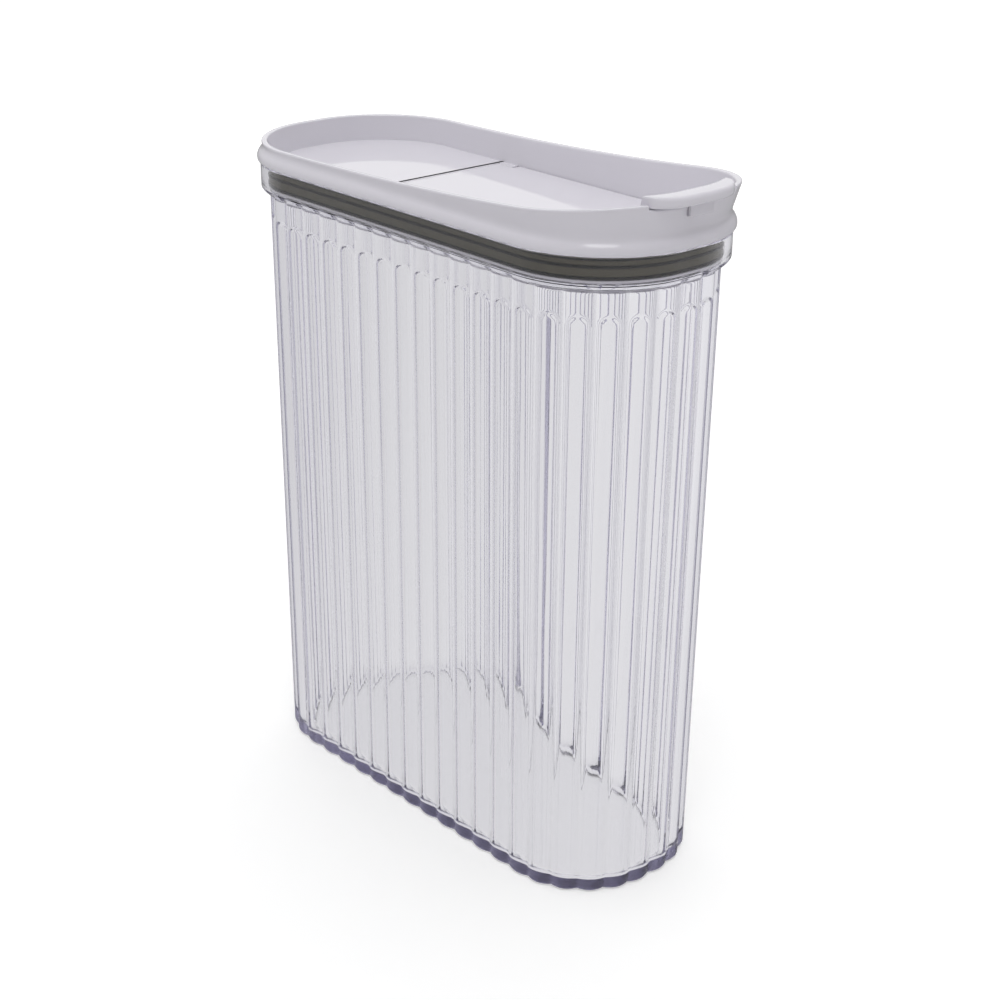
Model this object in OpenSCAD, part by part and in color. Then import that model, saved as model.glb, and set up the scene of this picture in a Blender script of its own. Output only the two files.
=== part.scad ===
// Slim keeper for dry cereal: a fluted clear body, a push-on lid with a soft seal,
// and a flap in the lid that lifts to pour.
// +X points to the pouring end, +Z up; the origin is the middle of the base's underside.
// Every outline is the same core rectangle grown by a radius, so pieces nest by radius alone.

/* [Body] */
// Length over the smooth band at the mouth
band_l = 212; // [180:1:240]
// Width over the smooth band at the mouth
band_w = 88.5; // [86:0.5:100]
// Corner radius of the band in plan
band_r = 40; // [38:0.5:42]
// Height of the body without its lid
body_h = 250; // [200:1:300]
// Height of the smooth band at the mouth
band_h = 10.2; // [10:0.1:14]
// Wall thickness of the body
wall_t = 2.4; // [2:0.1:2.8]
// Thickness of the base
base_t = 3; // [2.4:0.1:5]
// How far the flutes sit back from the band, at their upper end
band_step = 3.4; // [2:0.1:4]
// How far the body narrows, on each side, from the band to the foot
body_taper = 2.2; // [1:0.1:5]

/* [Flutes] */
// Number of flutes round the body
flute_n = 46; // [38:1:56]
// Depth of the grooves between the outer flutes
flute_depth = 1.6; // [0.8:0.1:1.8]
// Depth of the matching flutes on the inside
inner_flute_depth = 1; // [0.4:0.1:1.2]
// Distance from the band down to the arched tops of the inner flutes
inner_flute_drop = 9; // [6:0.5:30]

/* [Lid] */
// Gap between the lid and the top of the body
seat_gap = 0.3; // [0.2:0.05:0.5]
// How far the bead stands out past the band
bead_out = 1.2; // [0.8:0.1:3]
// Height of the bead
bead_h = 4.6; // [3:0.1:5.5]
// How far the waist above the bead sits back from the band
waist_in = 0.8; // [0:0.1:2]
// Height of the waist above the body
waist_h = 7; // [6:0.1:8]
// Outward lean of the wall above the waist, in mm for each mm of height
wall_lean = 0.3; // [0.1:0.02:0.4]
// Wall thickness of the lid above the waist
lid_wall = 2.3; // [1.8:0.1:3]
// Height of the rim above the body at the closed end
rim_back_h = 8; // [7.5:0.5:12]
// Height of the rim above the body at the pouring end
rim_front_h = 18; // [17:0.5:24]
// How late the rim climbs: 1 is a straight slope
rim_power = 2.6; // [1:0.1:3]
// Depth of the tray floor below the top of the body
tray_drop = 1.6; // [1:0.1:2.5]
// Thickness of the lid's floors
floor_t = 2; // [1.6:0.1:2.4]
// Thickness of the neck that carries the seal
neck_t = 1.4; // [1.2:0.1:2]

/* [Seal] */
// Gap between the seal's fins and the inside of the mouth
fin_gap = 0.3; // [0.2:0.05:0.5]
// Reach of the fins from the seal's band
fin_reach = 0.5; // [0.3:0.1:0.8]
// Thickness of the seal's band
seal_t = 0.7; // [0.6:0.1:1.2]
// Height of the seal
seal_h = 7.9; // [6:0.1:8]

/* [Flap] */
// Distance of the hinge axis behind the middle of the lid
hinge_back = 27.5; // [15:0.1:40]
// Radius of the hinge barrel
barrel_r = 2.2; // [2:0.1:2.6]
// Radius of the stub pins
pin_r = 1.5; // [1.2:0.1:1.6]
// Length of each stub pin
pin_l = 2.6; // [1.6:0.1:3]
// Radial play of the stub pins in the cheeks
pin_play = 0.06; // [0.02:0.01:0.1]
// Gap between the flap and the lid around it
flap_gap = 0.5; // [0.4:0.1:0.8]
// Clear height under the flap
under_gap = 1.4; // [1:0.1:2]
// Thickness of the flap's front upstand
upstand_t = 1.8; // [1.4:0.1:2.2]
// Width of the lip
lip_w = 40; // [30:1:50]
// Height of the lip's top above the body
lip_h = 20; // [19:0.1:24]
// Thickness of the lip
lip_t = 3.8; // [3:0.1:5]
// How far the lip stands out past the band
lip_out = 5; // [3:0.5:10]
// Corner radius of the lip in plan
lip_corner = 8; // [3:0.5:9]
// Width of the catch under the lip
catch_w = 11.4; // [6:0.2:16]
// Height of the catch
catch_h = 4.2; // [2:0.1:5]
// Thickness of the catch
catch_t = 1.5; // [1:0.1:2]

/* [Pouring opening] */
// Length of the opening along the lid
spout_l = 56; // [40:1:60]
// Width of the opening
spout_w = 52; // [40:1:56]
// Corner radius of the opening
spout_r = 12; // [8:0.5:16]
// Distance of the opening's middle from the pouring end of the band
spout_end = 44.5; // [42:0.5:52]
// Depth of the collar that hangs round the opening
collar_h = 6.5; // [4:0.1:7]
// Gap between the opening and the flap's plug
plug_gap = 0.6; // [0.4:0.1:1]
// Width of the soft ring round the plug
gasket_w = 3; // [2:0.1:4]

/* [Hidden] */

$fn = 96;
cut = 1; // how far a cutting shape runs past what it cuts
weld = 0.4; // how far joined shapes run into each other

// Core rectangle: its corners are the centres of every outline's corners.
core_x = band_l / 2 - band_r;
core_y = band_w / 2 - band_r;

// Body, by outline radius and height
crest_top_r = band_r - band_step;
crest_foot_r = crest_top_r - body_taper;
mouth_r = band_r - wall_t;
band_z = body_h - band_h;
foot_round = 3;
edge_round = 0.6;
shoulder_h = 3.4;
shoulder_z = band_z - shoulder_h;
ledge_z = band_z + 0.5;
ledge_h = 1.8;
flute_steps = 6;
ring_n = flute_n * flute_steps;
arch_h = 5;

// Lid, by outline radius and height
seat_z = body_h + seat_gap;
bead_r = band_r + bead_out;
waist_r = band_r - waist_in;
waist_z = body_h + waist_h;
tray_z = body_h - tray_drop;
neck_r = mouth_r - fin_gap - fin_reach - seal_t;
tray_r = neck_r - neck_t;
rim_back_z = body_h + rim_back_h;
rim_front_z = body_h + rim_front_h;
lip_z = body_h + lip_h;
ring_top_z = lip_z + cut;
shelf_z = tray_z - floor_t - under_gap;
shelf_under_z = shelf_z - floor_t;
rim_steps = 24;

// Seal and its carrier
seal_top_z = seat_z - 0.5;
seal_foot_z = seal_top_z - seal_h;
carrier_flange_t = 1;
carrier_flange_r = mouth_r - fin_gap - 0.1;
carrier_r = tray_r - 1.4;
fin_t = 0.5;

// Flap
spout_x = band_l / 2 - spout_end;
hinge_x = -hinge_back;
hinge_z = tray_z - barrel_r;
plate_z = tray_z - floor_t;
plate_r = tray_r - flap_gap;
barrel_gap = 0.8;
groove_r = barrel_r + flap_gap;
trough_t = 1.4;
cheek_half_l = 4.3;
cheek_y = core_y + tray_r - 3.6;
barrel_half_l = cheek_y - 0.4;
wing_gap = 1.5;
lip_under_z = lip_z - lip_t;
notch_z = lip_under_z - 0.4;
catch_x = core_x + band_r + 2.2;
plug_z = shelf_z - collar_h + 2;
plug_t = 1.6;
gasket_z = shelf_z + 0.3;

// Nearest core point and outward angle at a distance s along the foot's outline,
// counted from the middle of the long side at -Y.
quarter = PI / 2 * crest_foot_r;
outline_l = 4 * (core_x + core_y + quarter);
function core_at(s) =
    s < core_x ? [s, -core_y, -90] :
    s < core_x + quarter ? [core_x, -core_y, -90 + 90 * (s - core_x) / quarter] :
    s < core_x + quarter + 2 * core_y ? [core_x, s - core_x - quarter - core_y, 0] :
    s < outline_l / 2 - core_x ? [core_x, core_y, 90 - 90 * (outline_l / 2 - core_x - s) / quarter] :
    s < outline_l / 2 ? [outline_l / 2 - s, core_y, 90] :
    let (half = core_at(s - outline_l / 2)) [-half[0], -half[1], half[2] + 180];

// Cross-section of one flute: 0 at its crest, -1 in the groove
function flute(i) = let (u = (i % flute_steps) / flute_steps) -4 * pow(u - round(u), 2);

// One ring of points: outline radius r at height z, with grooves of the given depth
function ring(r, z, depth) = [
    for (i = [0:ring_n - 1])
        let (core = core_at(i * outline_l / ring_n), grown = r + depth * flute(i))
        [core[0] + grown * cos(core[2]), core[1] + grown * sin(core[2]), z]
];

// Crest radius of the tapered wall at height z
function crest_r(z) = crest_foot_r + body_taper * z / shoulder_z;

// Two triangles for each step between ring k and the next
function band_faces(k) = [
    for (i = [0:ring_n - 1])
        let (a = k * ring_n + i, b = k * ring_n + (i + 1) % ring_n)
        each [[a, a + ring_n, b], [b, a + ring_n, b + ring_n]]
];

// Closed skin through a list of rings, from a flat bottom round to a flat floor
module ring_skin(rings) {
    last = len(rings) - 1;
    centre = (last + 1) * ring_n;
    polyhedron(
        points = [for (r = rings) each r, [0, 0, rings[0][0][2]], [0, 0, rings[last][0][2]]],
        faces = [
            for (i = [0:ring_n - 1]) [i, (i + 1) % ring_n, centre],
            for (k = [0:last - 1]) each band_faces(k),
            for (i = [0:ring_n - 1])
                [last * ring_n + (i + 1) % ring_n, last * ring_n + i, centre + 1]
        ],
        convexity = 6
    );
}

// Core rectangle grown by r, as a flat outline
module outline(r) {
    square([2 * core_x, 2 * (core_y + r)], center = true);
    square([2 * (core_x + r), 2 * core_y], center = true);
    for (x = [-core_x, core_x], y = [-core_y, core_y]) translate([x, y]) circle(r);
}

// Solid slab of that outline between two heights
module slab(r, z0, z1) {
    translate([0, 0, z0]) linear_extrude(z1 - z0) outline(r);
}

// Carries a section, drawn as radius and height, once round the core rectangle
module sweep_ring() {
    for (end = [0, 180]) rotate([0, 0, end]) {
        translate([core_x, core_y, 0]) rotate_extrude(angle = 90) children();
        translate([-core_x, core_y, 0]) rotate([0, 0, 90]) rotate_extrude(angle = 90) children();
        translate([core_x, core_y, 0]) rotate([90, 0, 0]) linear_extrude(2 * core_y) children();
        translate([-core_x, core_y, 0]) rotate([90, 0, 90]) linear_extrude(2 * core_x) children();
    }
}

// Rectangle with round corners, centred on the pouring opening and grown by d
module spout_outline(d) {
    r = spout_r + d;
    translate([spout_x, 0]) {
        square([spout_l + 2 * d, spout_w - 2 * spout_r], center = true);
        square([spout_l - 2 * spout_r, spout_w + 2 * d], center = true);
        for (x = [-1, 1], y = [-1, 1])
            translate([x * (spout_l / 2 - spout_r), y * (spout_w / 2 - spout_r)]) circle(r);
    }
}

// Wall between two grown spout outlines and two heights
module spout_ring(inner, outer, z0, z1) {
    translate([0, 0, z0]) linear_extrude(z1 - z0) difference() {
        spout_outline(outer);
        spout_outline(inner);
    }
}

module container_body() {
    smooth_t = wall_t + inner_flute_depth; // wall above the inner flutes, where it is smooth
    arch_z = band_z - inner_flute_drop;
    color([0.88, 0.89, 0.93, 0.45]) ring_skin([
        ring(crest_foot_r - 1.4, 0, flute_depth * 0.8),
        ring(crest_foot_r - 0.4, foot_round * 0.3, flute_depth),
        ring(crest_r(foot_round), foot_round, flute_depth),
        ring(crest_top_r, shoulder_z, flute_depth),
        ring(crest_top_r + band_step * 0.3, band_z - 1, flute_depth * 0.6),
        ring(band_r, band_z, 0),
        ring(band_r, body_h - edge_round, 0),
        ring(band_r - edge_round, body_h, 0),
        ring(mouth_r + edge_round, body_h, 0),
        ring(mouth_r, body_h - edge_round, 0),
        ring(mouth_r, ledge_z, 0),
        ring(crest_top_r - wall_t, ledge_z - ledge_h, 0),
        ring(crest_top_r - smooth_t, shoulder_z, 0),
        ring(crest_r(arch_z) - smooth_t, arch_z, 0),
        ring(crest_r(arch_z - arch_h) - wall_t, arch_z - arch_h, inner_flute_depth),
        ring(crest_r(base_t + foot_round) - wall_t, base_t + foot_round, inner_flute_depth),
        ring(crest_r(base_t) - wall_t - foot_round, base_t, inner_flute_depth * 0.5)
    ]);
}

// Height of the rim's top edge at a place along the lid
function rim_z(x) =
    let (t = min(max((x + band_l / 2) / band_l, 0), 1))
    rim_back_z + (rim_front_z - rim_back_z) * pow(t, rim_power);

// Section of the lid's wall: neck, seat, bead, waist and leaning wall
module lid_wall_section() {
    lean_r = waist_r + wall_lean * (ring_top_z - waist_z);
    bead_steps = 8;
    polygon([
        [tray_r, shelf_under_z],
        [neck_r, shelf_under_z],
        [neck_r, seat_z],
        for (i = [0:bead_steps])
            let (a = -90 + 180 * i / bead_steps)
            [bead_r - bead_h / 2 + bead_h / 2 * cos(a), seat_z + bead_h / 2 + bead_h / 2 * sin(a)],
        [waist_r, waist_z],
        [lean_r, ring_top_z],
        [lean_r - lid_wall, ring_top_z],
        [waist_r - lid_wall, waist_z],
        [tray_r, tray_z]
    ]);
}

// Everything above the climbing rim line
module above_rim() {
    reach = band_l / 2 + 3 * bead_out;
    translate([0, band_w, 0]) rotate([90, 0, 0]) linear_extrude(2 * band_w) polygon([
        for (i = [0:rim_steps])
            let (x = -reach + 2 * reach * i / rim_steps)
            [x, rim_z(x)],
        [reach, ring_top_z + cut],
        [-reach, ring_top_z + cut]
    ]);
}

// Cylinder along Y on the hinge axis
module hinge_rod(r, half_l) {
    translate([hinge_x, half_l, hinge_z]) rotate([90, 0, 0]) cylinder(r = r, h = 2 * half_l);
}

// Box that is symmetric about the lid's long axis
module mid_box(x0, x1, half_w, z0, z1) {
    translate([x0, -half_w, z0]) cube([x1 - x0, 2 * half_w, z1 - z0]);
}

module lid_shell() {
    back_x = hinge_x - barrel_r - barrel_gap;
    cheek_end_y = core_y + tray_r + weld;
    color([0.86, 0.85, 0.88]) difference() {
        union() {
            difference() {
                sweep_ring() lid_wall_section();
                above_rim();
            }
            // back half of the tray floor, and the step down from it
            intersection() {
                slab(tray_r + weld, plate_z, tray_z);
                mid_box(-band_l, back_x, band_w, plate_z - cut, tray_z + cut);
            }
            intersection() {
                slab(tray_r + weld, shelf_under_z, tray_z);
                mid_box(back_x - floor_t, back_x, band_w, shelf_under_z - cut, tray_z + cut);
            }
            // shelf under the flap
            intersection() {
                slab(tray_r + weld, shelf_under_z, shelf_z);
                mid_box(back_x - weld, band_l, band_w, shelf_under_z - cut, shelf_z + cut);
            }
            // trough under the hinge barrel
            intersection() {
                hinge_rod(groove_r + trough_t, cheek_y);
                mid_box(-band_l, band_l, band_w, shelf_under_z, hinge_z - barrel_r / 4);
            }
            spout_ring(0, floor_t, shelf_z - collar_h, shelf_z);
            // cheeks that hold the stub pins
            for (side = [-1, 1])
                translate([hinge_x, side * (cheek_y + cheek_end_y) / 2, (shelf_under_z + tray_z) / 2])
                    cube([2 * cheek_half_l, cheek_end_y - cheek_y, tray_z - shelf_under_z], center = true);
        }
        hinge_rod(groove_r, cheek_y);
        mid_box(hinge_x - groove_r, hinge_x + groove_r, cheek_y, hinge_z, tray_z + cut);
        hinge_rod(pin_r + pin_play, barrel_half_l + pin_l + 0.4);
        translate([0, 0, shelf_under_z - cut]) linear_extrude(floor_t + 2 * cut) spout_outline(0);
        // seat for the lip
        mid_box(core_x, band_l, lip_w / 2 + flap_gap, notch_z, ring_top_z + cut);
    }
}

module seal_carrier() {
    flange_z = seal_foot_z - 0.2;
    color([0.84, 0.83, 0.86]) sweep_ring() polygon([
        [carrier_r, flange_z - carrier_flange_t],
        [carrier_flange_r, flange_z - carrier_flange_t],
        [carrier_flange_r, flange_z],
        [neck_r, flange_z],
        [neck_r, shelf_under_z],
        [carrier_r, shelf_under_z]
    ]);
}

module lid_seal() {
    band_r1 = neck_r + seal_t;
    color([0.36, 0.36, 0.31]) sweep_ring() {
        translate([neck_r, seal_foot_z]) square([seal_t, seal_h]);
        for (i = [0:2]) {
            fin_z = seal_foot_z + fin_t + (seal_h - 2 * fin_t) * i / 2;
            polygon([
                [band_r1 - weld / 2, fin_z - fin_t],
                [band_r1 + fin_reach, fin_z - fin_t / 2],
                [band_r1 + fin_reach, fin_z + fin_t / 2],
                [band_r1 - weld / 2, fin_z + fin_t]
            ]);
        }
    }
}

// Section of the flap's front: upstand and lip
module flap_front_section() {
    upstand_waist_r = waist_r - lid_wall - flap_gap;
    upstand_top_r = upstand_waist_r + wall_lean * (lip_under_z - waist_z);
    lip_r = band_r + lip_out;
    bevel = lip_t * 0.4;
    polygon([
        [plate_r - upstand_t, plate_z],
        [plate_r, plate_z],
        [plate_r, tray_z],
        [upstand_waist_r, waist_z],
        [upstand_top_r, lip_under_z],
        [lip_r, lip_under_z],
        [lip_r, lip_z - bevel],
        [lip_r - bevel, lip_z],
        [upstand_top_r - upstand_t, lip_z],
        [upstand_waist_r - upstand_t, waist_z],
        [plate_r - upstand_t, tray_z]
    ]);
}

// Plan of the lip: square at the hinge side, round at its outer corners
module lip_outline() {
    tip_x = core_x + band_r + lip_out;
    translate([core_x, -lip_w / 2]) square([tip_x - core_x - lip_corner, lip_w]);
    translate([core_x, lip_corner - lip_w / 2]) square([tip_x - core_x, lip_w - 2 * lip_corner]);
    for (y = [-1, 1]) translate([tip_x - lip_corner, y * (lip_w / 2 - lip_corner)]) circle(lip_corner);
}

module spout_flap() {
    wing_x = hinge_x + cheek_half_l + wing_gap;
    color([0.88, 0.87, 0.90]) union() {
        difference() {
            intersection() {
                slab(plate_r, plate_z, tray_z);
                mid_box(hinge_x, band_l, band_w, plate_z - cut, tray_z + cut);
            }
            // room for the cheeks
            for (side = [-1, 1])
                translate([hinge_x - cut, side * (barrel_half_l + band_w / 2) - band_w / 2, plate_z - cut])
                    cube([wing_x - hinge_x + cut, band_w, floor_t + 2 * cut]);
        }
        hinge_rod(barrel_r, barrel_half_l);
        hinge_rod(pin_r, barrel_half_l + pin_l);
        spout_ring(-plug_gap - plug_t, -plug_gap, plug_z, plate_z + weld);
        intersection() {
            sweep_ring() flap_front_section();
            translate([0, 0, plate_z - cut]) linear_extrude(lip_z - plate_z + 2 * cut) lip_outline();
        }
        translate([catch_x, -catch_w / 2, lip_under_z - catch_h]) cube([catch_t, catch_w, catch_h + weld]);
    }
}

module spout_seal() {
    color([0.36, 0.36, 0.31]) spout_ring(-plug_gap, gasket_w - plug_gap, gasket_z, plate_z);
}

container_body();
lid_shell();
seal_carrier();
lid_seal();
spout_flap();
spout_seal();
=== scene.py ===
"""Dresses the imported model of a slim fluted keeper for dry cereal: meshes, materials, light and
camera.

Every outline of the keeper is one core rectangle grown by a radius, so most pieces are a section
of (radius, height) points carried round that rectangle. Lengths are in millimetres until a mesh
is made, and in metres from there on.
"""
import math
import bmesh
import bpy
import numpy as np
from mathutils import Matrix, Vector


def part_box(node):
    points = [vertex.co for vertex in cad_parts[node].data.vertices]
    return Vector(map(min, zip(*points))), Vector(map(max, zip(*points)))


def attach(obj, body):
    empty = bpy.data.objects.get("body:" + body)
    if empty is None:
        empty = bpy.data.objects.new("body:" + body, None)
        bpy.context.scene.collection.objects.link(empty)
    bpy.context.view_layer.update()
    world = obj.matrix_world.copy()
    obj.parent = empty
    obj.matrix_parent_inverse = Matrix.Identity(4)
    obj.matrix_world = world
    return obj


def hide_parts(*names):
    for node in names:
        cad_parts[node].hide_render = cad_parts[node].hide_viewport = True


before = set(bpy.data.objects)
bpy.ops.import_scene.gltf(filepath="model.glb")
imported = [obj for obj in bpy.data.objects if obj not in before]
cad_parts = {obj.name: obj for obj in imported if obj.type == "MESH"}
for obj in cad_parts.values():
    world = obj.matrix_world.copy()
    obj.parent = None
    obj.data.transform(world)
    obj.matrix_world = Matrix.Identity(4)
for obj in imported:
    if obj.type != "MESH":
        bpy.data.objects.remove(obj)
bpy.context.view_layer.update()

MM = 0.001
_, (BAND_X, BAND_Y, BODY_H) = [[v / MM for v in corner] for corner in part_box("container_body")]
(_, _, SEAL_Z0), (SEAL_X, _, SEAL_Z1) = [[v / MM for v in corner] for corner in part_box("lid_seal")]
(_, _, GASKET_Z0), (_, _, GASKET_Z1) = [[v / MM for v in corner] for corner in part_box("spout_seal")]
(_, _, CARRIER_Z0), _ = [[v / MM for v in corner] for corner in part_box("seal_carrier")]
_, (LIP_X, _, LIP_Z) = [[v / MM for v in corner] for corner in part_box("spout_flap")]

# Body, as outline radius or height
BAND_R = 40.0
CORE_X, CORE_Y = BAND_X - BAND_R, BAND_Y - BAND_R
WALL, BASE_T, FLOOR_ROUND = 2.4, 3.0, 4.0
BAND_Z = BODY_H - 10.2
SHOULDER_Z = BAND_Z - 3.4
BAND_STEP, TAPER = 3.4, 2.2
MOUTH_R = BAND_R - WALL
CREST_TOP = BAND_R - BAND_STEP
CREST_FOOT = CREST_TOP - TAPER
EDGE, FOOT_ROUND = 0.6, 2.2

# Step under the band outside, and the ledge inside that goes with it
STEP_Z0, STEP_Z1, LEDGE_Z = BAND_Z - 3.2, BAND_Z + 0.8, BAND_Z + 0.8

# Flutes outside and their hollows inside
FLUTES, FLUTE_DEPTH, FLUTE_STEPS = 46, 1.6, 16
GROOVE_END, GROOVE_RUN = BAND_Z - 1.2, 2.0
INNER_DEPTH, HOLLOW_SHARE, HOLLOW_POWER = 0.7, 0.64, 0.8
SMOOTH_T = WALL + 1.0
ARCH_Z, ARCH_DROP, ARCH_RUN = BAND_Z - 11.0, 4.5, 2.0

# Lid
SEAT_Z = BODY_H + 0.3
BEAD_R, BEAD_H = BAND_R + 1.2, 2.8
WAIST_R, WAIST_Z = BAND_R - 0.8, BODY_H + 7.0
LEAN, LID_WALL = 0.3, 2.3
RIM_BACK, RIM_FRONT, RIM_POWER = BODY_H + 8.0, BODY_H + 18.0, 2.6
# FIN_SHADE: how far the painted shade of each fin on the seal reaches above and below it
SEAL_T, FIN_REACH, FIN_T, FIN_SHADE = 0.7, 0.5, 0.5, 0.75
NECK_R = SEAL_X - CORE_X - SEAL_T - FIN_REACH
TRAY_R = NECK_R - 1.4
FLOOR_T, COLLAR_H = 2.0, 6.5
TRAY_Z = BODY_H - 1.6
SHELF_Z = TRAY_Z - FLOOR_T - 1.4
SHELF_UNDER = SHELF_Z - FLOOR_T

# Flap
GAP = 0.5
BARREL_R, ROLL_R, PIN_R, PIN_L = 2.2, 3.48, 1.5, 2.6
HINGE_X, HINGE_Z = -27.5, TRAY_Z - BARREL_R
BACK_X, TROUGH_R, TROUGH_T = HINGE_X - 3.7, ROLL_R + 0.03, 0.9
CHEEK_HALF = 4.3
CHEEK_Y = CORE_Y + TRAY_R - 3.6
BARREL_L = CHEEK_Y - 0.4
UPSTAND_T = 1.8
LIP_T, LIP_W = 3.8, 40.0
LIP_CORNER_X, LIP_CORNER_Y = 5.4, 11.0
LIP_UNDER = LIP_Z - LIP_T
LIP_R = LIP_X - CORE_X
NOTCH_Z, NOTCH_GAP = LIP_UNDER - 0.4, 0.9
CATCH_X = BAND_X + 2.8
CATCH_W, CATCH_H, CATCH_T = 11.4, 4.2, 1.5
SPOUT_L, SPOUT_W, SPOUT_R = 56.0, 52.0, 12.0
SPOUT_X = BAND_X - 44.5
PLUG_GAP, PLUG_T, PLUG_H, GASKET_W = 0.6, 1.6, 4.5, 3.0


# ---------------------------------------------------------------- shapes on the core rectangle

def core_frame(s):
    """Core point, outward angle and total length at arc length s along the foot's outline, counted
    from the middle of the long side at -Y. Straights keep their angle; each corner turns by 90."""
    quarter = math.pi / 2 * CREST_FOOT
    knots = np.cumsum([0, CORE_X, quarter, 2 * CORE_Y, quarter, 2 * CORE_X, quarter, 2 * CORE_Y,
                       quarter, CORE_X])
    x = np.interp(s, knots, np.array([0, 1, 1, 1, 1, -1, -1, -1, -1, 0]) * CORE_X)
    y = np.interp(s, knots, np.array([-1, -1, -1, 1, 1, 1, 1, -1, -1, -1]) * CORE_Y)
    angle = np.interp(s, knots, np.radians([-90, -90, 0, 0, 90, 90, 180, 180, 270, 270]))
    return x, y, angle, knots[-1]


def stations(count):
    """Evenly spaced stations round the outline: core x, core y, cosine and sine, as columns."""
    total = core_frame(np.zeros(1))[3]
    x, y, angle, _ = core_frame(np.arange(count) * total / count)
    return x[:, None], y[:, None], np.cos(angle)[:, None], np.sin(angle)[:, None]


def rounded(points, cuts, steps=4):
    """Closed section with each corner replaced by a quadratic curve that starts `cut` away from it:
    (1-t)^2 start + 2t(1-t) corner + t^2 end. points is (..., corners, 2)."""
    points = np.asarray(points, float)
    before, after = np.roll(points, 1, axis=-2), np.roll(points, -1, axis=-2)
    cuts = np.broadcast_to(np.asarray(cuts, float), points.shape[:-1])[..., None]

    def toward(other):
        step = other - points
        length = np.linalg.norm(step, axis=-1, keepdims=True)
        return points + step / length * np.minimum(cuts, 0.49 * length)

    start, end = toward(before), toward(after)
    t = np.linspace(0, 1, steps + 1)[:, None]
    curve = ((1 - t) ** 2 * start[..., None, :] + 2 * t * (1 - t) * points[..., None, :]
             + t ** 2 * end[..., None, :])
    return curve.reshape(*points.shape[:-2], -1, 2)


def outline_points(r, count=368):
    """The core rectangle grown by r, as a flat closed outline."""
    x, y, c, s = stations(count)
    return np.concatenate([x + r * c, y + r * s], axis=1)


def outline_end(r, x, side):
    """The part of that outline beyond x on one side, +1 or -1, in order from -Y to +Y."""
    points = outline_points(r)
    points = points[(points[:, 0] - x) * side > 0]
    turn = np.arctan2(points[:, 1], (points[:, 0] - x) * side)
    half = r + CORE_Y
    return np.concatenate([[[x, -half]], points[np.argsort(turn)], [[x, half]]])


def spout_outline(d, corner_steps=12):
    """Rectangle with round corners, centred on the pouring opening and grown by d."""
    quarter = np.repeat(np.arange(4), corner_steps)
    angle = np.radians(90 * (quarter - 1) + np.tile(np.linspace(0, 90, corner_steps), 4))
    sx, sy = np.array([1, 1, -1, -1])[quarter], np.array([-1, 1, 1, -1])[quarter]
    x = SPOUT_X + sx * (SPOUT_L / 2 - SPOUT_R) + (SPOUT_R + d) * np.cos(angle)
    y = sy * (SPOUT_W / 2 - SPOUT_R) + (SPOUT_R + d) * np.sin(angle)
    return np.stack([x, y], axis=1)


# ---------------------------------------------------------------- meshes

def finished(name, mesh):
    """Object at the origin with smooth faces that point outwards and large flat faces kept flat."""
    shape = bmesh.new()
    shape.from_mesh(mesh)
    bmesh.ops.remove_doubles(shape, verts=shape.verts, dist=0.0005 * MM)
    bmesh.ops.recalc_face_normals(shape, faces=shape.faces)
    shape.to_mesh(mesh)
    shape.free()
    mesh.polygons.foreach_set("use_smooth", np.full(len(mesh.polygons), True))
    obj = bpy.data.objects.new(name, mesh)
    bpy.context.scene.collection.objects.link(obj)
    obj.modifiers.new("flat_faces_first", "WEIGHTED_NORMAL").keep_sharp = True
    return obj


def grid_object(name, points, close_rows=True, close_cols=True, cap_rows=False, cap_cols=False):
    """Mesh from a rows x columns grid of points. Rows or columns close on themselves, or end in
    flat caps: cap_rows closes the first and last row, cap_cols the first and last column."""
    rows, cols = points.shape[:2]
    index = np.arange(rows * cols).reshape(rows, cols)
    low = index if close_rows else index[:-1]
    high = np.roll(index, -1, axis=0) if close_rows else index[1:]
    low2, high2 = np.roll(low, -1, axis=1), np.roll(high, -1, axis=1)
    if not close_cols:
        low, low2, high, high2 = low[:, :-1], low2[:, :-1], high[:, :-1], high2[:, :-1]
    faces = np.stack([low, high, high2, low2], axis=-1).reshape(-1, 4).tolist()
    if cap_rows:
        faces += [index[0].tolist(), index[-1, ::-1].tolist()]
    if cap_cols:
        faces += [index[::-1, 0].tolist(), index[:, -1].tolist()]
    mesh = bpy.data.meshes.new(name)
    mesh.from_pydata((points.reshape(-1, 3) * MM).tolist(), [], faces)
    return finished(name, mesh)


def ring_object(name, section, count=368):
    """A closed section of (radius, height), or one for each station, carried round the core."""
    x, y, c, s = stations(count)
    section = np.broadcast_to(section, (count, *np.shape(section)[-2:]))
    r, z = section[..., 0], section[..., 1]
    return grid_object(name, np.stack([x + r * c, y + r * s, z], axis=-1))


def spout_object(name, section):
    """A closed section of (outward distance, height) carried round the pouring opening."""
    def level(d, z):
        outline = spout_outline(d)
        return np.column_stack([outline, np.full(len(outline), z)])

    return grid_object(name, np.stack([level(d, z) for d, z in section], axis=1))


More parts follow.
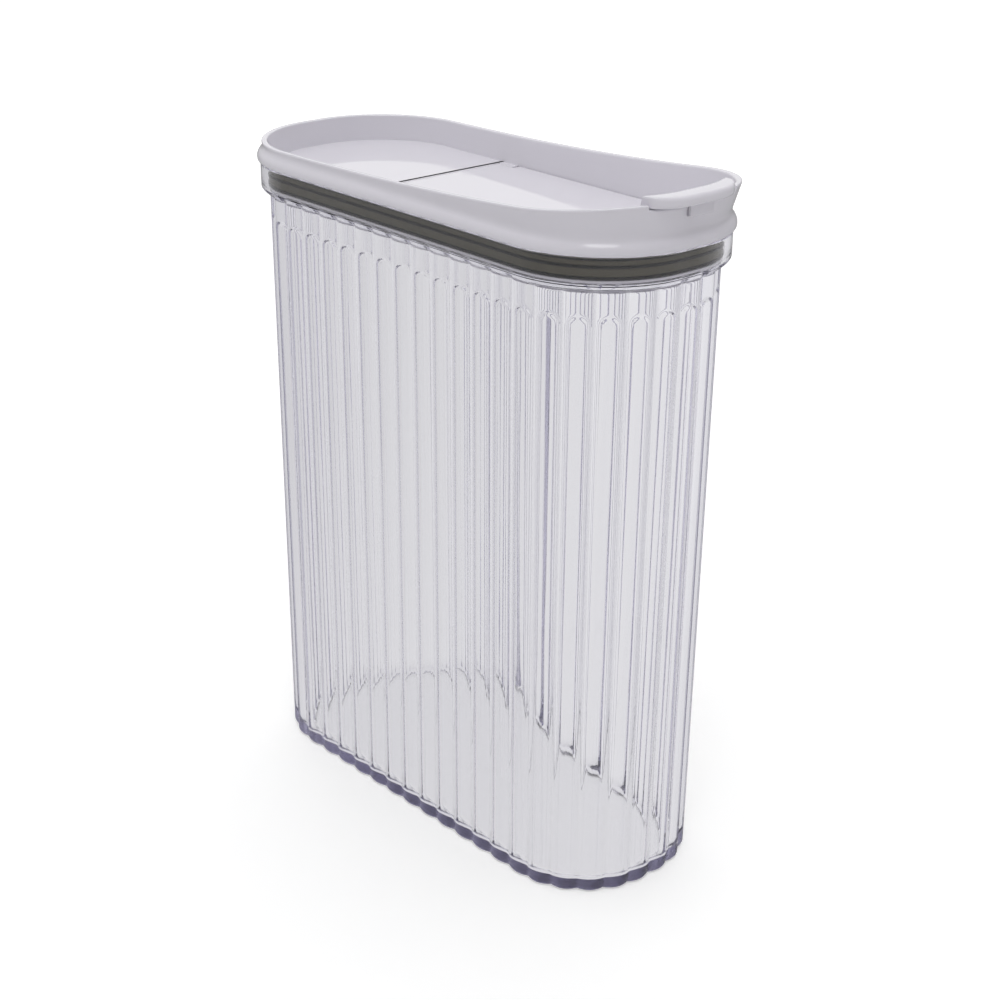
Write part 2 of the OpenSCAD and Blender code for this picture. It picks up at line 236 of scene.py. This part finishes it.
def slab_object(name, outlines, z0, z1, edge=0.25):
    """Slab between two heights with rounded edges. The first outline is its edge, the rest are
    holes. It is a filled flat curve, drawn `edge` inside its outline and bevelled as much."""
    curve = bpy.data.curves.new(name, "CURVE")
    curve.dimensions, curve.fill_mode = "2D", "BOTH"
    curve.extrude = ((z1 - z0) / 2 - edge) * MM
    curve.bevel_depth, curve.bevel_resolution, curve.offset = edge * MM, 2, -edge * MM
    for outline in outlines:
        points = np.column_stack([np.asarray(outline) * MM, np.zeros(len(outline)),
                                  np.ones(len(outline))])
        spline = curve.splines.new("POLY")
        spline.points.add(len(points) - 1)
        spline.points.foreach_set("co", points.ravel())
        spline.use_cyclic_u = True
    holder = bpy.data.objects.new(name, curve)
    bpy.context.scene.collection.objects.link(holder)
    depsgraph = bpy.context.evaluated_depsgraph_get()
    mesh = bpy.data.meshes.new_from_object(holder.evaluated_get(depsgraph))
    bpy.data.objects.remove(holder)
    mesh.transform(Matrix.Translation((0, 0, (z0 + z1) / 2 * MM)))
    mesh.name = name
    return finished(name, mesh)


def block_object(name, x0, x1, y0, y1, z0, z1, edge=0.3):
    """Block with rounded edges."""
    return slab_object(name, [[(x0, y0), (x1, y0), (x1, y1), (x0, y1)]], z0, z1, edge)


def rod_object(name, y0, y1, r, edge=0.3, top=math.inf, segments=64):
    """Rod on the hinge axis, along Y, with rounded ends. Its section is a circle, cut flat at the
    height top."""
    turn = np.linspace(0, math.pi / 2, 4)
    y = np.concatenate([y0 + edge - edge * np.cos(turn), y1 - edge + edge * np.sin(turn)])
    radius = np.concatenate([r - edge + edge * np.sin(turn), r - edge + edge * np.cos(turn)])
    angle = np.linspace(0, 2 * math.pi, segments, endpoint=False)[:, None]
    x = HINGE_X + radius * np.cos(angle)
    z = np.minimum(HINGE_Z + radius * np.sin(angle), top)
    points = np.stack([x, np.broadcast_to(y, x.shape), z], axis=-1)
    return grid_object(name, points, close_cols=False, cap_cols=True)


# ---------------------------------------------------------------- the container

def crest_r(z):
    """Crest radius of the tapered wall: the foot's radius plus taper * z / shoulder height."""
    return CREST_FOOT + TAPER * z / SHOULDER_Z


def smooth_step(t):
    """3t^2 - 2t^3, held at 0 and 1 outside its range."""
    t = np.clip(t, 0, 1)
    return t * t * (3 - 2 * t)


def body_outside():
    """Rows of the outside, from the base's middle up to the mouth's inner edge: radius, height and
    groove depth. The radius goes from crest to band by a smooth step, where the grooves end."""
    foot_turn, edge_turn = np.linspace(0, math.pi / 2, 7), np.linspace(0, math.pi / 2, 5)
    wall_z = np.linspace(4, STEP_Z0 - 9, 30)
    step_z = np.concatenate([np.linspace(STEP_Z0 - 8, STEP_Z0, 33),
                             np.linspace(STEP_Z0, STEP_Z1, 12)[1:]])
    step = smooth_step((step_z - STEP_Z0) / (STEP_Z1 - STEP_Z0))
    groove_left = smooth_step((GROOVE_END - step_z) / GROOVE_RUN)
    rows = [([CREST_FOOT - 9, CREST_FOOT - 5], 0, [0.7, 1.1]),
            (CREST_FOOT - FOOT_ROUND + FOOT_ROUND * np.sin(foot_turn),
             FOOT_ROUND - FOOT_ROUND * np.cos(foot_turn),
             FLUTE_DEPTH * (0.8 + 0.2 * np.sin(foot_turn))),
            (crest_r(wall_z), wall_z, FLUTE_DEPTH),
            (crest_r(step_z) + (BAND_R - crest_r(step_z)) * step, step_z,
             FLUTE_DEPTH * groove_left),
            (BAND_R, [STEP_Z1 + 1, BODY_H - 2.6, BODY_H - 1.4], 0),
            (BAND_R - EDGE + EDGE * np.cos(edge_turn),
             BODY_H - EDGE + EDGE * np.sin(edge_turn), 0),
            (MOUTH_R + EDGE - EDGE * np.sin(edge_turn),
             BODY_H - EDGE + EDGE * np.cos(edge_turn), 0)]
    return [np.concatenate(part) for part in zip(*(np.broadcast_arrays(*row) for row in rows))]


def body_inside():
    """Rows of the inside without its hollows, from under the mouth's edge to the floor's middle:
    radius and height. A sharp ledge under the seal takes the radius from mouth to wall."""
    ledge_down, ledge_left = [0.0, 0.15, 0.35, 0.55, 0.75, 1.0], [1, 0.93, 0.7, 0.3, 0.08, 0]
    wall_z = np.concatenate([[BODY_H - 3, BODY_H - 6], LEDGE_Z - np.array(ledge_down),
                             np.linspace(LEDGE_Z - 1.4, ARCH_Z - 9, 46),
                             np.linspace(ARCH_Z - 12, 9, 26)])
    wall_r = crest_r(wall_z) - SMOOTH_T
    wall_r += (MOUTH_R - wall_r) * np.interp(LEDGE_Z - wall_z, ledge_down, ledge_left)
    turn = np.linspace(0.1, math.pi / 2, 7)
    floor_r = crest_r(BASE_T) - SMOOTH_T - FLOOR_ROUND + FLOOR_ROUND * np.cos(turn)
    floor_z = BASE_T + FLOOR_ROUND - FLOOR_ROUND * np.sin(turn)
    return (np.concatenate([wall_r, floor_r, [CREST_FOOT - 14]]),
            np.concatenate([wall_z, floor_z, [BASE_T]]))


def make_body():
    """Fluted wall. Outside, a point's radius is the row's radius less depth * (2u)^2, with u from
    -0.5 to 0.5 across a flute. Inside, h = (1 - (2u / share)^2)^power is a flute's hollow, inner
    depth * h deep. It ends in a rounded arch, open below arch height - drop * (1 - sqrt(h))."""
    count = FLUTES * FLUTE_STEPS
    x, y, c, s = stations(count)
    u = (np.arange(count) % FLUTE_STEPS)[:, None] / FLUTE_STEPS
    groove = (2 * (u - np.round(u))) ** 2

    outer_r, outer_z, outer_depth = body_outside()
    inner_r, inner_z = body_inside()
    hollow = np.maximum(1 - groove / HOLLOW_SHARE ** 2, 0) ** HOLLOW_POWER
    arch = ARCH_Z - ARCH_DROP * (1 - np.sqrt(hollow))
    open_below = smooth_step((arch - inner_z) / ARCH_RUN)
    fade_at_floor = np.clip((inner_z - BASE_T) / FLOOR_ROUND, 0, 1)
    inner_r = inner_r + INNER_DEPTH * hollow * open_below * fade_at_floor

    r = np.concatenate([outer_r - outer_depth * groove, inner_r], axis=1)
    z = np.broadcast_to(np.concatenate([outer_z, inner_z]), r.shape)
    points = np.stack([x + r * c, y + r * s, z], axis=-1)
    return grid_object("body_moulding", points, close_cols=False, cap_cols=True)


# ---------------------------------------------------------------- the lid and its seal

def rim_z(x):
    """Height of the rim: back + (front - back) * t^power, with t from 0 to 1 along the lid."""
    t = np.clip((x + BAND_X) / (2 * BAND_X), 0, 1)
    return RIM_BACK + (RIM_FRONT - RIM_BACK) * t ** RIM_POWER


def make_lid_wall():
    """Neck, seat, rolled bead, waist and leaning wall, whose radius is waist + lean * height above
    the waist. The top follows the rim line, and drops to the lip's seat under the lip."""
    count = 1380
    x, y, c, s = (v[:, 0] for v in stations(count))
    mid_r, notch_run = WAIST_R + LEAN * 8, 0.3
    inside_notch = LIP_W / 2 + NOTCH_GAP - np.abs(y + mid_r * s)
    under_lip = (x + mid_r * c > CORE_X) * smooth_step(inside_notch / notch_run)

    def top(r):
        z = rim_z(x + r * c)
        return z + (np.minimum(z, NOTCH_Z) - z) * under_lip

    out_z, in_z = top(mid_r), top(mid_r - LID_WALL)
    out_top = np.stack([WAIST_R + LEAN * (out_z - WAIST_Z), out_z], axis=-1)
    in_top = np.stack([WAIST_R - LID_WALL + LEAN * (in_z - WAIST_Z), in_z], axis=-1)
    # (radius, height, rounding) of the corners below the rim
    outside = [(TRAY_R, SHELF_UNDER, 0.2), (NECK_R, SHELF_UNDER, 0.2), (NECK_R, SEAT_Z, 0.1),
               (BEAD_R, SEAT_Z, 1.2), (BEAD_R, SEAT_Z + BEAD_H, 1.5),
               (WAIST_R - 0.3, WAIST_Z - 1.2, 2.2)]
    inside = [(WAIST_R - LID_WALL, WAIST_Z, 2.4), (TRAY_R + 0.3, TRAY_Z + 1.1, 1.3),
              (TRAY_R, TRAY_Z, 0.3)]

    def fixed(corners):
        return [np.broadcast_to(corner[:2], (count, 2)) for corner in corners]

    section = np.stack([*fixed(outside), out_top, in_top, *fixed(inside)], axis=1)
    cuts = [corner[2] for corner in outside] + [1.0, 0.9] + [corner[2] for corner in inside]
    return ring_object("lid_wall", rounded(section, cuts), count)


def make_trough():
    """Pipe open at the top. It holds the hinge barrel, and its back edge comes up level with the
    tray."""
    angle = np.linspace(math.pi - math.asin((TRAY_Z - HINGE_Z) / TROUGH_R), 2 * math.pi, 31)
    arc = np.stack([np.cos(angle), np.sin(angle)], axis=1)
    ring = np.concatenate([(TROUGH_R + TROUGH_T) * arc, TROUGH_R * arc[::-1]])
    z = np.clip(HINGE_Z + ring[:, 1], SHELF_UNDER - 0.8, TRAY_Z)
    half = CHEEK_Y + 0.6
    points = [np.column_stack([HINGE_X + ring[:, 0], np.full(len(ring), y), z])
              for y in (-half, 0, half)]
    return grid_object("lid_trough", np.stack(points), close_rows=False, cap_rows=True)


def make_seal():
    """Soft band with three fins, and a thin flange in the gap under the bead. Its colour carries
    painted shade: a point attribute is 1 on the flange, which is painted black as the shadow in that
    gap, and at a fin's height, painted as the shade where the fins meet the wall, and it falls to 0
    within FIN_SHADE above and below."""
    band_r, fin_r = NECK_R + SEAL_T, NECK_R + SEAL_T + FIN_REACH
    # the flange is a thin sheet, all painted black, that stands for the shadow in the gap under the
    # bead
    flange_r, shadow_sheet_z = BAND_R - 0.9, (BODY_H + 0.04, SEAT_Z - 0.02)
    fins = SEAL_Z0 + FIN_T + (SEAL_Z1 - SEAL_Z0 - 2 * FIN_T) * np.array([0, 0.56, 0.94])
    corners = [(NECK_R, SEAL_Z0), (band_r, SEAL_Z0)]
    # extra corners at FIN_SHADE from each fin hold the edge of the painted shade
    for z in fins:
        if z > fins[0]:
            corners.append((band_r, z - FIN_SHADE))
        corners += [(band_r, z - 0.9 * FIN_T), (fin_r, z - FIN_T / 2),
                    (fin_r, z + FIN_T / 2), (band_r, z + 0.9 * FIN_T)]
        if z < fins[-1]:
            corners.append((band_r, z + FIN_SHADE))
    corners += [(band_r, shadow_sheet_z[0]), (flange_r, shadow_sheet_z[0]), (flange_r, shadow_sheet_z[1]),
                (NECK_R, shadow_sheet_z[1])]
    seal = ring_object("seal_ring", rounded(corners, 0.08, 3))
    mesh = seal.data
    at = np.empty(3 * len(mesh.vertices))
    mesh.vertices.foreach_get("co", at)
    z = at[2::3] / MM
    # painted shade: near black at each fin's height, and on the flange above the top fin as the
    # shadow in the gap under the bead
    away = np.min(np.abs(z[:, None] - fins), axis=1)
    painted_shade = np.where(z > fins[-1], 1, np.clip((FIN_SHADE - away) / 0.35, 0, 1))
    mesh.attributes.new("fin_painted_shade", "FLOAT", "POINT").data.foreach_set("value", painted_shade)
    return seal


# ---------------------------------------------------------------- the flap

def make_flap_front():
    """Upstand and lip: a section of (radius, height) laid out at each y across the lip. A radius r
    lies at x = core x + sqrt(r^2 - (|y| - core y)^2), and the overhang shrinks to elliptical
    corners. Near each end the section shrinks towards its own inside by a quarter circle."""
    waist_r = WAIST_R - LID_WALL - GAP
    top_r = waist_r + LEAN * (LIP_UNDER - WAIST_Z)
    plate_r = TRAY_R - GAP
    # (radius, height, rounding)
    corners = [(plate_r - UPSTAND_T, TRAY_Z - FLOOR_T, 0.2), (plate_r, TRAY_Z - FLOOR_T, 0.2),
               (plate_r, TRAY_Z, 0.5), (waist_r, WAIST_Z, 2.4), (top_r, LIP_UNDER, 0.5),
               (LIP_R, LIP_UNDER, 1.3), (LIP_R, LIP_Z, 2.4), (top_r - UPSTAND_T, LIP_Z, 1.3),
               (waist_r - UPSTAND_T, WAIST_Z, 2.4), (plate_r - UPSTAND_T, TRAY_Z, 1.4)]
    section = rounded([corner[:2] for corner in corners], [corner[2] for corner in corners], 6)
    step = np.roll(section, -1, 0) - np.roll(section, 1, 0)
    inward = np.stack([-step[:, 1], step[:, 0]], axis=1)
    inward /= np.linalg.norm(step, axis=1, keepdims=True)

    half, end_round = LIP_W / 2, 0.8
    turn = np.linspace(0, math.pi / 2, 7)
    ends = half - end_round + end_round * np.sin(turn)
    middle = np.linspace(end_round + 0.4 - half, half - end_round - 0.4, 73)
    shrink = end_round * (1 - np.cos(turn))
    y = np.concatenate([-ends[::-1], middle, ends])[:, None]
    shrink = np.concatenate([shrink[::-1], 0 * middle, shrink])[:, None, None]
    r, z = np.moveaxis(section + inward * shrink, -1, 0)

    def reach(radius):
        return CORE_X + np.sqrt(radius ** 2 - np.maximum(np.abs(y) - CORE_Y, 0) ** 2)

    into_corner = np.clip(1 + (np.abs(y) - half) / LIP_CORNER_Y, 0, 1)
    tip = reach(LIP_R) - LIP_CORNER_X * (1 - np.sqrt(1 - into_corner ** 2))
    out = np.clip((r - top_r) / (LIP_R - top_r), 0, 1)
    x = np.where(r > top_r, reach(top_r) + (tip - reach(top_r)) * out, reach(r))
    points = np.stack([x, np.broadcast_to(y, x.shape), z], axis=-1)
    return grid_object("flap_front", points, close_rows=False, cap_rows=True)


def flap_plate_outline():
    """Plan of the plate: the tray's outline less the gap, with room cut out for the cheeks."""
    wing_x = HINGE_X + CHEEK_HALF + 1.5
    front = outline_end(TRAY_R - GAP, wing_x, 1)
    back_x = HINGE_X - 1.2
    return np.concatenate([[[back_x, -BARREL_L], [wing_x, -BARREL_L]], front,
                           [[wing_x, BARREL_L], [back_x, BARREL_L]]])


# ---------------------------------------------------------------- materials

def moulded_surface():
    """Node group for every moulded or soft surface: a cloudy mask for colour, an uneven roughness
    about a middle value, and a fine ripple for a bump, all from noise on Object coordinates."""
    group = bpy.data.node_groups.new("moulded_surface", "ShaderNodeTree")
    for name in ("Stretch", "Cloud Scale", "Ripple Scale", "Roughness Low", "Roughness High"):
        kind = "NodeSocketVector" if name == "Stretch" else "NodeSocketFloat"
        group.interface.new_socket(name, in_out="INPUT", socket_type=kind)
    for name in ("Cloud", "Roughness", "Ripple"):
        group.interface.new_socket(name, in_out="OUTPUT", socket_type="NodeSocketFloat")
    nodes, link = group.nodes, group.links.new
    given, out = nodes.new("NodeGroupInput"), nodes.new("NodeGroupOutput")
    coord, mapping = nodes.new("ShaderNodeTexCoord"), nodes.new("ShaderNodeMapping")
    uneven = nodes.new("ShaderNodeMapRange")
    link(coord.outputs["Object"], mapping.inputs["Vector"])
    link(given.outputs["Stretch"], mapping.inputs["Scale"])
    noises = {}
    for name, detail in (("Cloud", 4), ("Ripple", 2)):
        noise = noises[name] = nodes.new("ShaderNodeTexNoise")
        noise.inputs["Detail"].default_value = detail
        link(mapping.outputs["Vector"], noise.inputs["Vector"])
        link(given.outputs[f"{name} Scale"], noise.inputs["Scale"])
        link(noise.outputs["Fac"], out.inputs[name])
    link(noises["Cloud"].outputs["Fac"], uneven.inputs["Value"])
    link(given.outputs["Roughness Low"], uneven.inputs["To Min"])
    link(given.outputs["Roughness High"], uneven.inputs["To Max"])
    link(uneven.outputs["Result"], out.inputs["Roughness"])
    return group


SURFACE = moulded_surface()


def set_range(node, given, result):
    """Makes a Map Range node turn the first pair of values into the second."""
    for key, value in zip(("From Min", "From Max", "To Min", "To Max"), (*given, *result)):
        node.inputs[key].default_value = value


def material(name, low, high, *, roughness, cloud_scale, ripple_scale, bump, stretch=(1, 1, 1),
             **sockets):
    """Principled surface whose colour drifts between low and high, with the group's gloss and
    ripple. The other arguments are the shader's own sockets."""
    mat = bpy.data.materials.new(name)
    mat.use_nodes = True
    nodes, link = mat.node_tree.nodes, mat.node_tree.links.new
    shader, surface = nodes["Principled BSDF"], nodes.new("ShaderNodeGroup")
    surface.name, surface.node_tree = "surface", SURFACE
    for key, value in (("Stretch", stretch), ("Cloud Scale", cloud_scale),
                       ("Ripple Scale", ripple_scale), ("Roughness Low", roughness[0]),
                       ("Roughness High", roughness[1])):
        surface.inputs[key].default_value = value
    colour, ripple = nodes.new("ShaderNodeMix"), nodes.new("ShaderNodeBump")
    colour.name, colour.data_type = "colour", "RGBA"
    colour.inputs["A"].default_value, colour.inputs["B"].default_value = (*low, 1), (*high, 1)
    ripple.inputs["Strength"].default_value = bump
    ripple.inputs["Distance"].default_value = 0.2 * MM
    link(surface.outputs["Cloud"], colour.inputs["Factor"])
    link(colour.outputs["Result"], shader.inputs["Base Color"])
    link(surface.outputs["Roughness"], shader.inputs["Roughness"])
    link(surface.outputs["Ripple"], ripple.inputs["Height"])
    link(ripple.outputs["Normal"], shader.inputs["Normal"])
    for key, value in sockets.items():
        shader.inputs[key.replace("_", " ")].default_value = value
    return mat


def clear_plastic():
    """Clear moulding with fine upright draw lines, a faint blue tone that deepens along the wall,
    and a finely textured underside."""
    mat = material("clear_plastic", (0.985, 0.984, 0.988), (0.995, 0.995, 0.996),
                   roughness=(0.015, 0.03), cloud_scale=30, ripple_scale=520, bump=0.05,
                   stretch=(1, 1, 0.012), Transmission_Weight=1.0, IOR=1.5)
    nodes, link = mat.node_tree.nodes, mat.node_tree.links.new
    coord, split = nodes.new("ShaderNodeTexCoord"), nodes.new("ShaderNodeSeparateXYZ")
    under, rough = nodes.new("ShaderNodeMapRange"), nodes.new("ShaderNodeMix")
    link(coord.outputs["Object"], split.inputs["Vector"])
    link(split.outputs["Z"], under.inputs["Value"])
    set_range(under, (0.2 * MM, 0.5 * MM), (1.0, 0.0))
    link(under.outputs["Result"], rough.inputs["Factor"])
    link(nodes["surface"].outputs["Roughness"], rough.inputs["A"])
    rough.inputs["B"].default_value = 0.22
    link(rough.outputs["Result"], nodes["Principled BSDF"].inputs["Roughness"])
    tone = nodes.new("ShaderNodeVolumeAbsorption")
    tone.inputs["Color"].default_value = (0.78, 0.765, 0.87, 1)
    tone.inputs["Density"].default_value = 60
    link(tone.outputs["Volume"], nodes["Material Output"].inputs["Volume"])
    return mat


def seal_rubber():
    """Olive-grey rubber, with painted shade that turns it almost black at the height of the fins and
    on the flange in the gap under the bead.
    """
    mat = material("seal_rubber", (0.098, 0.089, 0.062), (0.13, 0.118, 0.084),
                   roughness=(0.4, 0.55), cloud_scale=60, ripple_scale=1500, bump=0.2,
                   stretch=(1, 1, 0.3), Specular_IOR_Level=0.25)
    nodes, link = mat.node_tree.nodes, mat.node_tree.links.new
    # painted shade: mixes in near black by the seal's point attribute of fin and gap shade
    fin_painted_shade, painted_shade_mix = nodes.new("ShaderNodeAttribute"), nodes.new("ShaderNodeMix")
    fin_painted_shade.attribute_name, painted_shade_mix.data_type = "fin_painted_shade", "RGBA"
    painted_shade_mix.inputs["B"].default_value = (0.006, 0.006, 0.007, 1)
    link(fin_painted_shade.outputs["Fac"], painted_shade_mix.inputs["Factor"])
    link(nodes["colour"].outputs["Result"], painted_shade_mix.inputs["A"])
    link(painted_shade_mix.outputs["Result"], nodes["Principled BSDF"].inputs["Base Color"])
    return mat


clear = clear_plastic()
lid_gloss = material("lid_gloss", (0.775, 0.755, 0.82), (0.80, 0.778, 0.84),
                     roughness=(0.035, 0.07), cloud_scale=40, ripple_scale=240, bump=0.02, IOR=1.5)
rubber = seal_rubber()


# ---------------------------------------------------------------- every piece in its place

def place(piece, body, slot, finish, *nodes):
    """Gives a piece its body and material, and hides the CAD nodes it stands for. The argument slot
    is not used.
    """
    piece.data.materials.clear()
    piece.data.materials.append(finish)
    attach(piece, body)
    if nodes:
        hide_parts(*nodes)


def build_container():
    place(make_body(), "container", "clear_body", clear, "container_body")


def build_lid():
    def lid_piece(piece, *nodes):
        place(piece, "lid", "lid_plastic", lid_gloss, *nodes)

    reach = TRAY_R + 0.4
    half = reach + CORE_Y
    lid_piece(make_lid_wall(), "lid_shell")
    lid_piece(slab_object("lid_tray_floor", [outline_end(reach, BACK_X, -1)],
                          TRAY_Z - FLOOR_T, TRAY_Z, 0.2))
    lid_piece(slab_object("lid_shelf",
                          [outline_end(reach, HINGE_X + TROUGH_R + 0.3, 1), spout_outline(0)],
                          SHELF_UNDER, SHELF_Z, 0.2))
    lid_piece(block_object("lid_step", BACK_X - FLOOR_T, BACK_X, -half, half, SHELF_UNDER, TRAY_Z))
    collar = [(0, SHELF_Z - COLLAR_H), (FLOOR_T, SHELF_Z - COLLAR_H), (FLOOR_T, SHELF_Z - 0.2),
              (0, SHELF_Z - 0.2)]
    lid_piece(spout_object("lid_collar", rounded(collar, 0.4)))
    lid_piece(make_trough())
    for side, end in (("near", -1), ("far", 1)):
        y0, y1 = sorted((end * CHEEK_Y, end * half))
        lid_piece(block_object(f"lid_cheek_{side}", HINGE_X - CHEEK_HALF, HINGE_X + CHEEK_HALF,
                               y0, y1, SHELF_UNDER, TRAY_Z, 0.35))

    flange_r, flange_t, carrier_r = MOUTH_R - 0.4, 1.0, TRAY_R - 1.4
    carrier = [(carrier_r, CARRIER_Z0), (flange_r, CARRIER_Z0), (flange_r, CARRIER_Z0 + flange_t),
               (NECK_R, CARRIER_Z0 + flange_t), (NECK_R, SHELF_UNDER), (carrier_r, SHELF_UNDER)]
    place(ring_object("seal_carrier_ring", rounded(carrier, 0.25)), "lid", "carrier_plastic",
          lid_gloss, "seal_carrier")
    place(make_seal(), "lid", "seal_rubber", rubber, "lid_seal")


def build_flap():
    def flap_piece(piece, *nodes):
        place(piece, "flap", "flap_plastic", lid_gloss, *nodes)

    flap_piece(slab_object("flap_plate", [flap_plate_outline()], TRAY_Z - FLOOR_T, TRAY_Z),
               "spout_flap")
    flap_piece(rod_object("flap_barrel", -BARREL_L, BARREL_L, ROLL_R, top=TRAY_Z - 0.02))
    for side, end in (("near", -1), ("far", 1)):
        y0, y1 = sorted((end * (BARREL_L - 0.4), end * (BARREL_L + PIN_L)))
        flap_piece(rod_object(f"flap_pin_{side}", y0, y1, PIN_R))
    plug_z0, plug_z1 = SHELF_Z - PLUG_H, TRAY_Z - 1.8
    plug = [(-PLUG_GAP - PLUG_T, plug_z0), (-PLUG_GAP, plug_z0), (-PLUG_GAP, plug_z1),
            (-PLUG_GAP - PLUG_T, plug_z1)]
    flap_piece(spout_object("flap_plug", rounded(plug, 0.3)))
    flap_piece(make_flap_front())
    flap_piece(block_object("flap_catch", CATCH_X - CATCH_T, CATCH_X, -CATCH_W / 2, CATCH_W / 2,
                            LIP_UNDER - CATCH_H, LIP_UNDER + 0.4))
    gasket_out = GASKET_W - PLUG_GAP
    gasket = [(-PLUG_GAP, GASKET_Z0), (gasket_out, GASKET_Z0), (gasket_out, GASKET_Z1),
              (-PLUG_GAP, GASKET_Z1)]
    place(spout_object("spout_gasket", rounded(gasket, 0.2)), "flap", "gasket_rubber", rubber,
          "spout_seal")


build_container()
build_lid()
build_flap()


# ---------------------------------------------------------------- floor, light, camera

# strength of the floor in gloss, and through the clear wall from one side of the view to the other
MIRRORED_FLOOR, SEEN_THROUGH = 0.28, (0.72, 0.90)
ACROSS_VIEW, SEEN_HALF = (0.742, 0.670, 0.0), 400
FLOOR_GLOW = 0.30
# (direction, cosines from the edge to the full light, strength outside and inside)
STUDIO = [((-0.3, 0.1, 1), (-0.3, 1.0), (0.13, 0.86)),
          ((-0.68, 0.62, 0.42), (0.80, 0.93), (0.0, 0.40)),
          ((0.35, -0.32, 0.88), (0.965, 0.985), (0.0, 4.0))]


def along(nodes, link, source, direction, given, result):
    """Value that goes from result[0] to result[1] as the source's part along a direction goes from
    given[0] to given[1], and the Map Range node that makes it."""
    part, turned = nodes.new("ShaderNodeVectorMath"), nodes.new("ShaderNodeMapRange")
    part.operation = "DOT_PRODUCT"
    part.inputs[1].default_value = direction
    link(source, part.inputs[0])
    link(part.outputs["Value"], turned.inputs["Value"])
    set_range(turned, given, result)
    return turned.outputs["Result"], turned


def choose(nodes, link, kind, chosen, other):
    """The chosen value or socket for one kind of ray, and the other for the rest."""
    path, mix = nodes.new("ShaderNodeLightPath"), nodes.new("ShaderNodeMix")
    link(path.outputs[kind], mix.inputs["Factor"])
    for socket, value in (("B", chosen), ("A", other)):
        if isinstance(value, float):
            mix.inputs[socket].default_value = value
        else:
            link(value, mix.inputs[socket])
    return mix.outputs["Result"]


def make_floor():
    """White floor with the keeper's soft shadow. Gloss shows it dim, and the clear wall shows it
    brightening evenly across the view, so that each flute bends a shade of its own into sight."""
    size, below = 4000, -0.3
    x, y = np.meshgrid([-size, size], [-size, size], indexing="ij")
    floor = grid_object("floor", np.stack([x, y, np.full(x.shape, below)], axis=-1),
                        close_rows=False, close_cols=False)
    mat = bpy.data.materials.new("floor_white")
    mat.use_nodes = True
    nodes, link = mat.node_tree.nodes, mat.node_tree.links.new
    shader = nodes["Principled BSDF"]
    shader.inputs["Base Color"].default_value = (0.9, 0.9, 0.9, 1)
    shader.inputs["Roughness"].default_value = 0.9
    shader.inputs["Specular IOR Level"].default_value = 0.0

    coord = nodes.new("ShaderNodeTexCoord")
    drift, _ = along(nodes, link, coord.outputs["Object"], ACROSS_VIEW,
                     (-SEEN_HALF * MM, SEEN_HALF * MM), SEEN_THROUGH)
    # a bent ray counts as glossy too, so the choice for clear walls comes after
    glow = choose(nodes, link, "Is Glossy Ray", MIRRORED_FLOOR, 0.0)
    glow = choose(nodes, link, "Is Transmission Ray", drift, glow)
    glow = choose(nodes, link, "Is Camera Ray", FLOOR_GLOW, glow)
    shader.inputs["Emission Color"].default_value = (1, 1, 1, 1)
    link(glow, shader.inputs["Emission Strength"])

    # what the clear wall and gloss show is the glow alone
    plain, swap = nodes.new("ShaderNodeEmission"), nodes.new("ShaderNodeMixShader")
    link(glow, plain.inputs["Strength"])
    bent = choose(nodes, link, "Is Transmission Ray", 1.0, 0.0)
    link(choose(nodes, link, "Is Glossy Ray", 1.0, bent), swap.inputs["Fac"])
    link(shader.outputs["BSDF"], swap.inputs[1])
    link(plain.outputs["Emission"], swap.inputs[2])
    link(swap.outputs["Shader"], nodes["Material Output"].inputs["Surface"])
    floor.data.materials.append(mat)


def make_world():
    """Soft studio dome, brightest overhead, with a pale wall beyond the keeper's back and a small
    soft box above its pouring end. It is plain white seen straight on, and as bright as the middle
    of the floor through the clear wall."""
    world = bpy.data.worlds.new("studio")
    bpy.context.scene.world = world
    world.use_nodes = True
    nodes, link = world.node_tree.nodes, world.node_tree.links.new
    coord, total = nodes.new("ShaderNodeTexCoord"), 0.0
    for direction, edge, strength in STUDIO:
        lit, rise = along(nodes, link, coord.outputs["Generated"], Vector(direction).normalized(),
                          edge, strength)
        rise.interpolation_type = "SMOOTHSTEP"
        add = nodes.new("ShaderNodeMath")
        link(lit, add.inputs[0])
        if total:
            link(total, add.inputs[1])
        else:
            add.inputs[1].default_value = total
        total = add.outputs["Value"]
    total = choose(nodes, link, "Is Transmission Ray", sum(SEEN_THROUGH) / 2, total)
    total = choose(nodes, link, "Is Camera Ray", 1.0, total)
    link(total, nodes["Background"].inputs["Strength"])
    nodes["Background"].inputs["Color"].default_value = (1, 1, 1, 1)


def make_camera():
    """Camera above the pouring end's near corner, aimed at the keeper's middle."""
    azimuth, elevation, roll = 0.83554, 0.40549, 0.01116
    target, distance, focal = Vector((4.930, 5.817, 124.60)), 755.92, 1911.66
    frame_px, sensor = 1000, 36.0
    level = math.cos(elevation)
    back = Vector((math.sin(azimuth) * level, -math.cos(azimuth) * level, math.sin(elevation)))
    right = Vector((math.cos(azimuth), math.sin(azimuth), 0))
    up = back.cross(right)
    right, up = (math.cos(roll) * right + math.sin(roll) * up,
                 math.cos(roll) * up - math.sin(roll) * right)
    data = bpy.data.cameras.new("camera")
    data.sensor_width, data.lens = sensor, sensor * focal / frame_px
    data.clip_start, data.clip_end = 0.01, 50.0
    camera = bpy.data.objects.new("camera", data)
    bpy.context.scene.collection.objects.link(camera)
    turn = Matrix((right, up, back)).transposed().to_4x4()
    camera.matrix_world = Matrix.Translation((target + back * distance) * MM) @ turn
    bpy.context.scene.camera = camera


make_floor()
make_world()
make_camera()
bpy.context.scene.view_settings.view_transform = "Standard"
# a ray passes many walls in the clear body, and with fewer turns it ends black
light_paths = bpy.context.scene.cycles
light_paths.max_bounces = light_paths.transmission_bounces = 24
light_paths.glossy_bounces = 12
